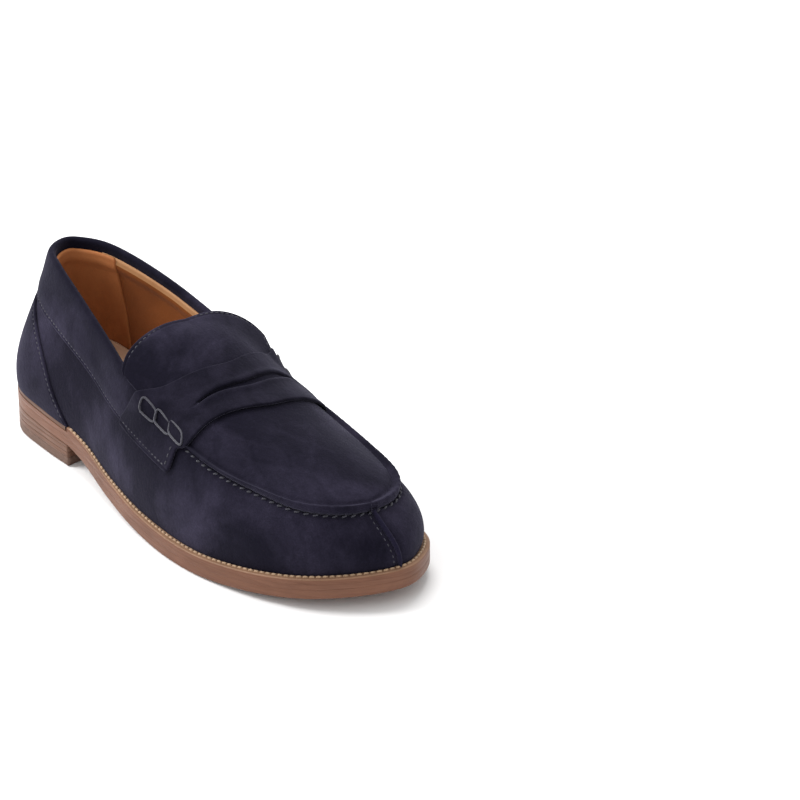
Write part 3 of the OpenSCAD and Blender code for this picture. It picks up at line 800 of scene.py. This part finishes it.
def saddle_strap():
    tab = 1.4
    girth_length = 150.0
    q = np.interp(fine_ends(girth_length, 1.5), [0, 1], [-tab, tab])[None]
    gape = 0.022 + 0.05 * smooth(-0.7, 0.2, q) * (1 - smooth(0.45, 0.82, q))
    front = fine_ends(17, 1.0)[:, None]
    back = fine_ends(26, 1.0)[:, None]
    line = slit_line(q)
    v_front = strap_front(q) + (line - gape - strap_front(q)) * front
    v_back = line + gape + (strap_back(q) - line - gape) * back
    v = np.concatenate([v_front, v_back])
    q = np.broadcast_to(q, v.shape)
    rows = len(front)
    first, last = np.searchsorted(q[0], -0.66), np.searchsorted(q[0], 0.86)
    lift = SUEDE_T + 0.1 + 0.9 * np.exp(-((np.abs(q) - 0.93) / 0.07) ** 2)
    base = draped(v, q)
    edges = edge_distances(base)
    in_slit = smooth(-0.72, -0.6, q) * (1 - smooth(0.8, 0.9, q))
    to_slit = np.abs(run(base, 0) - run(base, 0)[rows - 1:rows])
    to_slit = np.minimum(to_slit, np.abs(run(base, 0) - run(base, 0)[rows:rows + 1]))
    radius = 1.1
    slit_ease = 1 - in_slit * (1 - np.sqrt(1 - (1 - np.clip(to_slit / radius, 0, 1)) ** 2))
    proud = 0.5 * np.exp(-((to_slit - 1.8) / 2.0) ** 2) * in_slit
    arch = 1.1 * np.exp(-(edges[0] / 9.0) ** 2) * (1 - smooth(0.8, 1.0, np.abs(q)))
    side_channel = sum(0.4 * np.exp(-((edges[k] - 2.4) / 0.45) ** 2) for k in (2, 3))

    def relief(points, _edges):
        return (-0.6 * SUEDE_T * (1 - slit_ease) + proud + arch - side_channel
                + 0.12 * ripple(points, 30, 31))

    outer, _ = shell(draped_at, v, q, lift, SUEDE_T, (1, 1, 1, 1), (), relief)
    inner = draped_at(v, q, lift + arch * 0.9 + 0.2 * (1 - slit_ease))
    slab = slab_mesh(outer, inner, (rows - 1, first, last))
    return mesh_object("saddle_strap", *slab, "navy_suede", SUEDE_STRAP)


def toe_seam_strip():
    half = 0.06
    s = np.linspace(TOE - half, TOE + half, 13)[:, None]
    t = np.linspace(0.0, 0.99, 60)[None]
    s, t = np.broadcast_arrays(s, t)
    rise = 2.2 * np.sqrt(np.clip(1 - ((s - TOE) / half) ** 2, 0, 1))
    outer = wall_at(s, t, -0.3 + rise)
    inner = wall_at(s, t, np.full(s.shape, -0.7))
    # The strip's suede is painted lighter, a painted highlight on the ridge
    return mesh_object("toe_seam_strip", *slab_mesh(outer, inner), "navy_suede", SUEDE_RIDGE_HIGHLIGHT)


def rim_crease(t):
    """How far the lining sinks along the crease under its turned edge."""
    return 1.1 * np.exp(-(((t - 0.86) / 0.035) ** 2))


def lining(name, a, b):
    """A lining piece between two ribs."""
    s = np.linspace(a, b, max(int((b - a) * 22), 30))[:, None]
    s, t = np.broadcast_arrays(s, np.linspace(0.02, 0.93, 40)[None])
    swell = 0.12 * ripple(wall(s, t), 30, 41) - rim_crease(t)
    verts, faces = slab_mesh(wall_at(s, t, LINING_OUT + 0 * t), wall_at(s, t, LINING_IN + swell))
    piece = mesh_object(name, verts, faces, "tan_lining_leather", TAN)
    # The top strip takes a paler copy of the lining leather: a painted highlight where the turned edge
    # catches the light
    piece.data.materials.append(TAN_PAINTED_HIGHLIGHT)
    height = t.ravel()
    for polygon in piece.data.polygons:
        lowest = min(height[v % height.size] for v in polygon.vertices)
        polygon.material_index = int(lowest > 0.865)
    return piece


def heel_grip():
    """The grip lies over the ends of the quarter linings and is longer at the bottom."""
    t = np.linspace(0.02, 0.93, 40)[None]
    reach = 2.15 + 0.75 * (1 - t) ** 1.6
    near_edge = fine_ends(140, 2.0)[:8]
    share = np.concatenate([-1 + near_edge, np.linspace(-0.95, 0.95, 90), (1 - near_edge)[::-1]])
    s = reach * share[:, None]
    t = np.broadcast_to(t, s.shape)
    base = wall(s, t)
    edge = np.minimum(run(base, 0), run(base, 0)[-1:] - run(base, 0))
    ease = np.sqrt(1 - (1 - np.clip(edge / 0.8, 0, 1)) ** 2)
    sewn = 0.25 * np.exp(-((edge - 2.2) / 0.5) ** 2)
    rim = rim_crease(t)
    inner = wall_at(s, t, LINING_IN - 0.15 - rim - 0.85 * ease + sewn + 0.1 * ripple(base, 26, 43))
    slab = slab_mesh(wall_at(s, t, LINING_IN + 0.25 - rim), inner)
    return mesh_object("heel_grip", *slab, "brown_heel_grip_leather", GRIP)


def wall_level(s, height):
    """The t at which the side wall stands a height over the underside."""
    t = np.linspace(0, 0.6, 60)
    level = [wall(k, t)[:, 2] - underside(rib(k)[0]) for k in s]
    return np.array([np.interp(h, z, t) for h, z in zip(height, level)])


def apron_lining():
    q = np.linspace(-0.96, 0.96, 60)[None]
    share = np.linspace(0, 1, 90)[:, None]
    v = 0.6 + (tongue_end(q) - 0.1 - 0.6) * share
    q = np.broadcast_to(q, v.shape)
    slab = slab_mesh(girth_at(v, q, 0 * v), girth_at(v, q, 0 * v - LINING_T))
    return mesh_object("apron_lining", *slab, "tan_lining_leather", TAN)


def sock_liner():
    """The sock follows the insole, rises over the heel pad and cups the heel."""
    d = np.linspace(0.03, TOE - 0.03, 220)
    share = np.linspace(0, 1, 61)[None]
    lift = EDGE_T + INSOLE_T + 0.1 + 3.0 * (1 - smooth(3, 4, d))
    cup = 5.5 * (1 - smooth(2.6, 5, d)) + 0.4
    rim = LINING_IN - 1.3
    a = wall_at(d, wall_level(d, lift + cup), rim)[:, None]
    b = wall_at(TURN - d, wall_level(TURN - d, lift + cup), rim)[:, None]
    under = a + (b - a) * share[..., None]
    sunk = cup[:, None] * (1 - np.abs(2 * share - 1) ** 3.5) * smooth(0, 0.5, d)[:, None]
    under = under - UP * sunk[..., None]
    over = under + UP * (SOCK_T + 0.08 * ripple(under, 35, 51))[..., None]
    return mesh_object("sock_liner", *slab_mesh(over, under), "sock_leather", SOCK)


# ---------------------------------------------------------------- the sole
def ring_solid(name, profile, slot, material, s_values, all_round):
    """Solid whose rim follows the sole edge; profile lists inset and height, round its section.

    all_round makes a full plate, closed over its top and underside; otherwise it is a strip.
    """
    insets = np.array([p[0] for p in profile], float)[None]
    heights = np.array([p[1] for p in profile], float)[None]
    s = np.asarray(s_values)[:, None]
    points = sole_point(s, insets + 0 * s, heights + 0 * s)
    n, m = points.shape[:2]
    if not all_round:
        faces = grid_faces(n, m, wrap_columns=True)[:, ::-1].tolist()
        faces += [list(range(m)), list(range((n - 1) * m, n * m))[::-1]]
        return mesh_object(name, points.reshape(-1, 3), faces, slot, material)
    faces = grid_faces(n, m, wrap_rows=True)[:, ::-1].tolist()
    half = n // 2
    for column, flip in ((0, False), (m - 1, True)):
        for i in range(half):
            a, b = i, i + 1
            c, d = (n - i - 1) % n, (n - i) % n
            quad = [a * m + column, b * m + column, c * m + column, d * m + column]
            quad = list(dict.fromkeys(quad))
            if len(quad) > 2:
                faces.append(quad[::-1] if flip else quad)
    return mesh_object(name, points.reshape(-1, 3), faces, slot, material)


def round_rim(top, bottom, radius_top, radius_bottom, depth, out=0.0):
    """Section of a sole layer from its top face round the rim to its underside."""
    arc = np.linspace(0, math.pi / 2, 6)
    points = [(depth, top), (depth * 0.5, top), (radius_top + out + 0.6, top)]
    for a in arc:
        points.append((out + radius_top * (1 - math.sin(a)), top - radius_top * (1 - math.cos(a))))
    points.append((out, (top + bottom) / 2))
    for a in arc:
        into = radius_bottom * (1 - math.cos(a))
        points.append((out + into, bottom + radius_bottom * (1 - math.sin(a))))
    points += [(radius_bottom + out + 0.6, bottom), (depth * 0.5, bottom), (depth, bottom)]
    return points


def outsole_and_midsole():
    s = np.linspace(0, TURN, 720, endpoint=False)
    ring_solid("outsole", round_rim(OUTSOLE_T, 0, 0.1, 1.0, 14), "sole_leather", SOLE, s, True)
    rim = round_rim(SOLE_T, OUTSOLE_T + 0.02, 0.08, 0.08, 14, 0.04)
    ring_solid("midsole", rim, "sole_leather", SOLE, s, True)


def welt_and_rand():
    s = np.linspace(HEEL_RIB, TURN - HEEL_RIB, 620)
    ring_solid("welt", round_rim(EDGE_T, SOLE_T + 0.02, 0.9, 0.1, 10), "welt_leather", WELT, s, False)
    s = np.linspace(-HEEL_RIB + 0.05, HEEL_RIB - 0.05, 200)
    rim = round_rim(EDGE_T, SOLE_T + 0.05, 1.0, 0.3, 10, 0.35)
    ring_solid("heel_rand", rim, "rand_leather", RAND, s, False)


def heel_outline(into):
    """Plan of the heel block, moved in, with a breast that bows in a little."""
    side = sole_point(np.linspace(HEEL_RIB, -HEEL_RIB, 180), into, 0)[:, :2]
    a, b = side[-1], side[0]
    share = np.linspace(0, 1, 30)[1:-1, None]
    bow = np.array([[-1.0, 0.0]]) * (2.2 * np.sin(math.pi * share) + into)
    breast = a + (b - a) * share + bow
    return np.concatenate([side, breast])


def heel_piece(name, bottom, top, out, slot="stacked_heel_leather", material=HEEL, top_of=None):
    """One layer of the stacked heel with softly rounded rims."""
    radius = min(0.45, (top - bottom) / 4)
    section = []
    for a in np.linspace(0, math.pi / 2, 4):
        into = out + radius * (1 - math.cos(a))
        fall = radius * (1 - math.sin(a))
        section += [(into, bottom + fall), (into, top - fall)]
    section = sorted(section, key=lambda p: p[1])
    rings = []
    for into, z in section:
        plan = heel_outline(into)
        level = np.full(len(plan), z)
        if top_of is not None and z > (bottom + top) / 2:
            level = top_of(plan[:, 0]) - (top - z)
        rings.append(np.column_stack([plan, level]))
    rings = np.array(rings)
    n, m = rings.shape[:2]
    faces = grid_faces(n, m, wrap_columns=True).tolist()
    faces += [list(range(m)), list(range((n - 1) * m, n * m))[::-1]]
    return mesh_object(name, rings.reshape(-1, 3), faces, slot, material)


def heel():
    wedge = TOP_PIECE_T + 2 * LIFT_T
    slope = (HEEL_BACK_Z - HEEL_BREAST_Z) / (HEEL_BREAST_X + SOLE_LENGTH / 2)
    # The brass pins end a hair below the top piece's worn face, so they show
    heel_piece("top_piece", 0.14, TOP_PIECE_T, 0.1, "top_piece_rubber", TOP_PIECE)
    heel_piece("heel_lift_lower", TOP_PIECE_T + 0.04, TOP_PIECE_T + LIFT_T, 0.05)
    heel_piece("heel_lift_upper", TOP_PIECE_T + LIFT_T + 0.04, wedge, 0.1)
    heel_piece("heel_wedge", wedge + 0.04, HEEL_BACK_Z - 0.04, 0.05,
               top_of=lambda x: HEEL_BACK_Z - 0.05 - slope * (x + SOLE_LENGTH / 2))


# ---------------------------------------------------------------- sewing
# Pitch, half length, half width and height of each kind of stitch; the apron's also slant
WELT_STITCH = (3.4, 1.45, 0.62, 0.38)
APRON_STITCH = (4.8, 1.5, 0.45, 0.4, 0.35)
COVER_STITCH = (3.1, 1.05, 0.33, 0.2)
TONGUE_STITCH = (3.2, 1.1, 0.36, 0.2)
SADDLE_STITCH = (3.1, 1.05, 0.34, 0.2)
TOE_STITCH = (3.2, 0.9, 0.3, 0.1)


def seam_on_wall(s, t, lift, *settings):
    return stitch_line(wall_at(s, t, lift), wall_normal(s, t), *settings)


def seam_on_top(v, q, lift, surface, *settings):
    place = lifted(surface, v, q, lift)
    normals = unit(lifted(surface, v, q, lift + 1.0) - place)
    return stitch_line(place, normals, *settings)


def navy_seam(name, *rows):
    mesh_object(name, *joined(rows), "navy_thread", NAVY_THREAD)


def welt_seam():
    s = np.linspace(HEEL_RIB + 0.05, TURN - HEEL_RIB - 0.05, 900)
    rim = sole_point(s, inset(rib(s)[:, 0]) * 0.66, EDGE_T + 0.05)
    seam = stitch_line(rim, np.broadcast_to(UP, rim.shape), *WELT_STITCH)
    mesh_object("welt_stitches", *seam, "welt_thread", WELT_THREAD)


def wall_seams():
    """Seams of the apron edge, the collar and the counter cover."""
    s = np.linspace(7.0, TURN - 7.0, 700)
    navy_seam("apron_stitches", seam_on_wall(s, 0.962 + 0 * s, 0.0, *APRON_STITCH))

    s = np.linspace(-5.3, 5.3, 800)
    low = collar_low(s)
    height = np.linalg.norm(wall(s, 1 + 0 * s) - wall(s, low), axis=-1)
    rows = []
    for gap in (2.0, 4.2):
        rows.append(seam_on_wall(s, low + (1 - low) * gap / height, 1.15, *COVER_STITCH))
    navy_seam("collar_stitches", *rows)

    s = np.linspace(-3.5, 3.5, 600)
    t = np.maximum(counter_high(s) - 0.035, 0.01)
    navy_seam("counter_stitches", seam_on_wall(s, t, 1.1, *COVER_STITCH))


def tongue_seam():
    q = np.linspace(-0.94, 0.94, 500)
    rows = [seam_on_top(tongue_end(q) - 0.1, q, 1.15, girth, *TONGUE_STITCH)]
    v = np.linspace(5.9, 6.5, 120)
    for side in (LATERAL, MEDIAL):
        rows.append(seam_on_top(v, side * (0.96 + 0 * v), 1.25, girth, *TONGUE_STITCH))
    navy_seam("tongue_stitches", *rows)


def saddle_seam():
    """Along the lower end of each tab, and a little way up its front."""
    q_low = 1.345
    v = np.linspace(strap_front(q_low) + 0.12, strap_back(q_low) - 0.1, 200)
    up = np.linspace(q_low, 1.1, 80)
    rows = []
    for side in (LATERAL, MEDIAL):
        rows.append(seam_on_top(v, side * (q_low + 0 * v), SUEDE_T + 1.35, draped, *SADDLE_STITCH))
        front = strap_front(side * up) + 0.1
        rows.append(seam_on_top(front, side * up, SUEDE_T + 1.6, draped, *SADDLE_STITCH))
    navy_seam("saddle_stitches", *rows)


def toe_seam():
    t = np.linspace(0.05, 0.93, 200)
    navy_seam("toe_seam_stitches", seam_on_wall(TOE - 0.17 + 0 * t, t, 0.0, *TOE_STITCH))


def saddle_cord(side, name):
    """Three linked square loops of thick cord that whip the saddle to the apron edge."""
    parts = []
    turn = np.linspace(0, 2 * math.pi, 97)[:-1]
    square = np.abs(np.cos(turn)) ** 4 + np.abs(np.sin(turn)) ** 4
    square = square ** -0.25
    for k in range(3):
        v = 5.19 + 0.36 * k + (0.2 - 0.015 * k) * square * np.cos(turn)
        q = side * (0.98 + 0.025 * k + 0.056 * square * np.sin(turn))
        # One end of each loop is higher than its other; the middle loop also dips at its lower end
        higher_end = -1 if k == 0 else 1
        end_dip = 0.9 * np.exp(-(((turn - 3.4) / 0.5) ** 2)) if k == 1 else 0
        weave = 0.45 * higher_end * np.cos(turn) - end_dip
        points = draped_at(v, q, SUEDE_T * 2 + 0.75 + weave)
        ups = unit(draped_at(v, q, 1.0 + 0 * v) - draped_at(v, q, 0 * v))
        parts.append(twisted_loop(points, ups, CORD_RADIUS, 2.5))
    return mesh_object(name, *joined(parts), "saddle_cord", CORD)


# ---------------------------------------------------------------- pieces that keep their CAD shape
def finish_cad_pieces():
    board = ((0.62, 0.55, 0.42), (0.50, 0.43, 0.31), 1200, 0.8, 0.0)
    cloth = ((0.75, 0.71, 0.62), (0.62, 0.58, 0.49), 1500, 0.9, 0.0)
    steel = ((0.42, 0.42, 0.44), (0.30, 0.30, 0.33), 1400, 0.35, 1.0)
    looks = {
        "cork_filler": ((0.42, 0.26, 0.13), (0.22, 0.12, 0.05), 380, 0.9, 0.0),
        "insole": ((0.52, 0.36, 0.22), (0.42, 0.27, 0.15), 900, 0.7, 0.0),
        "heel_pad": ((0.70, 0.62, 0.45), (0.58, 0.50, 0.34), 700, 0.9, 0.0),
        "heel_counter": board,
        "toe_puff": board,
        "interlining_lateral": cloth,
        "interlining_medial": cloth,
        "shank": steel,
        "heel_nails": steel,
        "top_piece_nails": ((0.62, 0.42, 0.14), (0.45, 0.29, 0.08), 1400, 0.3, 1.0),
    }
    for node, look in looks.items():
        material = grainy_material(node + "_finish", *look)
        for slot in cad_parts[node].material_slots:
            slot.material = material


def build_shoe():
    side_wall(LATERAL, "side_wall_lateral")
    side_wall(MEDIAL, "side_wall_medial")
    counter_cover()
    collar_band()
    apron()
    saddle_strap()
    toe_seam_strip()
    lining("vamp_lining", 7.05, TURN - 7.05)
    lining("quarter_lining_lateral", 1.8, 7.0)
    lining("quarter_lining_medial", TURN - 7.0, TURN - 1.8)
    heel_grip()
    apron_lining()
    sock_liner()
    outsole_and_midsole()
    welt_and_rand()
    heel()
    welt_seam()
    wall_seams()
    tongue_seam()
    saddle_seam()
    toe_seam()
    saddle_cord(LATERAL, "saddle_cord_lateral")
    saddle_cord(MEDIAL, "saddle_cord_medial")
    finish_cad_pieces()


# ---------------------------------------------------------------- stage, light and camera
def pale_stage():
    size = 6.0
    mesh = bpy.data.meshes.new("floor")
    corners = [(-size, -size, 0), (size, -size, 0), (size, size, 0), (-size, size, 0)]
    mesh.from_pydata(corners, [], [(0, 1, 2, 3)])
    g = Graph("floor_white")
    mesh.materials.append(g.finish((0.94, 0.94, 0.94, 1), 0.9, Specular_IOR_Level=0.1))
    floor = bpy.data.objects.new("floor", mesh)
    floor.location.z = -0.0002
    bpy.context.scene.collection.objects.link(floor)


def soft_light(name, place, aim, size, power):
    light = bpy.data.lights.new(name, "AREA")
    light.shape = "DISK"
    light.size = size
    light.energy = power
    lamp = bpy.data.objects.new(name, light)
    lamp.location = place
    lamp.rotation_euler = (Vector(aim) - Vector(place)).to_track_quat("-Z", "Y").to_euler()
    bpy.context.scene.collection.objects.link(lamp)


def light_scene():
    world = bpy.data.worlds.new("studio")
    world.use_nodes = True
    world.node_tree.nodes["Background"].inputs["Color"].default_value = (1, 1, 1, 1)
    world.node_tree.nodes["Background"].inputs["Strength"].default_value = 0.75
    bpy.context.scene.world = world
    soft_light("key", (-1.0, -0.8, 1.3), (0, 0, 0.04), 0.9, 26)
    soft_light("top", (-0.4, 0.4, 1.7), (0, 0, 0.04), 1.2, 18)
    soft_light("fill", (0.6, -1.3, 0.9), (0, 0, 0.04), 1.2, 4)


def place_camera():
    aim = Vector((0.0439, 0.0947, 0.0455))
    away = 1.9
    azimuth, elevation = math.radians(320.44), math.radians(26.46)
    direction = Vector((math.cos(elevation) * math.cos(azimuth), math.cos(elevation) * math.sin(azimuth),
                        math.sin(elevation)))
    data = bpy.data.cameras.new("camera")
    data.lens = 161.4
    data.sensor_width = 36
    data.clip_end = 20
    camera = bpy.data.objects.new("camera", data)
    camera.location = aim + direction * away
    camera.rotation_euler = (-direction).to_track_quat("-Z", "Y").to_euler()
    bpy.context.scene.collection.objects.link(camera)
    bpy.context.scene.camera = camera


build_shoe()
pale_stage()
light_scene()
place_camera()
bpy.context.scene.view_settings.view_transform = "Standard"
